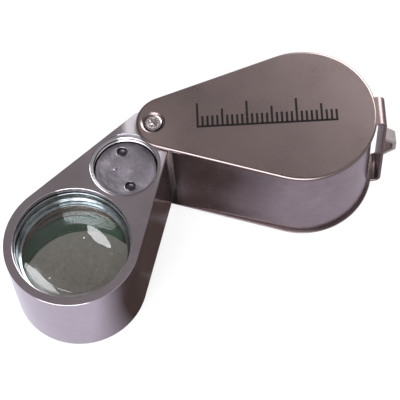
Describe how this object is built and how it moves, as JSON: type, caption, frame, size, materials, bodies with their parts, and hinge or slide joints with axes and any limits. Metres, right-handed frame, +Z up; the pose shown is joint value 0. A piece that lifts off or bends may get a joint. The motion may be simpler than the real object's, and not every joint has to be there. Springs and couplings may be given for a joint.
{
  "type": "hand lens",
  "caption": "Folding jeweller's loupe: a lens block with LEDs and a screw-capped battery well swings out of a folded teardrop metal case with a lanyard loop.",
  "frame": {"origin": "on the underside of the bottom plate, at the centre of the case's round end", "axes": "+Z up through the case, +X from the pivot towards the strap and lanyard loop, +Y out of the case's open side"},
  "size_m": [0.0797, 0.0535, 0.025],
  "materials": {
    "case_metal": "satin dark nickel plate",
    "wall_metal": "satin nickel plate",
    "loop_metal": "brushed",
    "block_metal": "polished dark nickel plate",
    "barrel_metal": "bright turned",
    "lens_glass": "polished and coated",
    "inner_ring": "matt black",
    "circuit_board": "green solder mask",
    "lamp_resin": "clear resin over a yellow phosphor",
    "cap_metal": "grainy cast and plated",
    "screw_metal": "worn plate",
    "pivot_metal": "turned",
    "bronze": "turned",
    "cell_metal": "drawn nickel",
    "spring_metal": "drawn wire",
    "sleeve_card": "insulating film",
    "switch_plastic": "moulded",
    "slider_plastic": "moulded"
  },
  "bodies": {
    "case": {"case_shell": "case_metal", "side_wall": "wall_metal", "lanyard_loop": "loop_metal", "pivot_post": "pivot_metal", "top_screw": "screw_metal", "bottom_screw": "screw_metal", "pivot_spacer": "pivot_metal", "friction_washer": "bronze"},
    "block": {"lens_block": "block_metal", "pivot_bush": "bronze", "lens_barrel": "barrel_metal", "eye_lens": "lens_glass", "lens_spacer": "inner_ring", "field_lens": "lens_glass", "lens_retainer": "inner_ring", "led_board": "circuit_board", "led_left": "lamp_resin", "led_right": "lamp_resin", "board_clip": "barrel_metal", "battery_sleeve": "sleeve_card", "contact_spring": "spring_metal", "contact_disc": "circuit_board", "contact_rivet": "bronze", "contact_strip": "bronze", "switch_body": "switch_plastic"},
    "cells": {"battery_cell_1": "cell_metal", "battery_cell_2": "cell_metal", "battery_cell_3": "cell_metal"},
    "cap": {"battery_cap": "cap_metal"},
    "slider": {"switch_slider": "slider_plastic"}
  },
  "joints": [
    {"name": "block_swing", "type": "hinge", "parent": "case", "child": "block", "pos_m": [-0.0303, 0, 0.0125], "axis": [0, 0, 1], "range_deg": [-236.7, 7]},
    {"name": "battery_rise", "type": "slide", "parent": "block", "child": "cells", "axis": [0, 0, 1], "range_m": [0, 0.0015], "deforming": ["contact_spring"]},
    {"name": "battery_cap_turn", "type": "hinge", "parent": "cells", "child": "cap", "pos_m": [-0.03612, -0.00886, 0.021], "axis": [0, 0, 1], "range_deg": [0, 720]},
    {"name": "switch_slide", "type": "slide", "parent": "block", "child": "slider", "axis": [-0.549, -0.8358, 0], "range_m": [0, 0.002]}
  ],
  "couplings": [
    {"joint": "battery_cap_turn", "follows": "battery_rise", "rad_per_m": 8377.6}
  ]
}
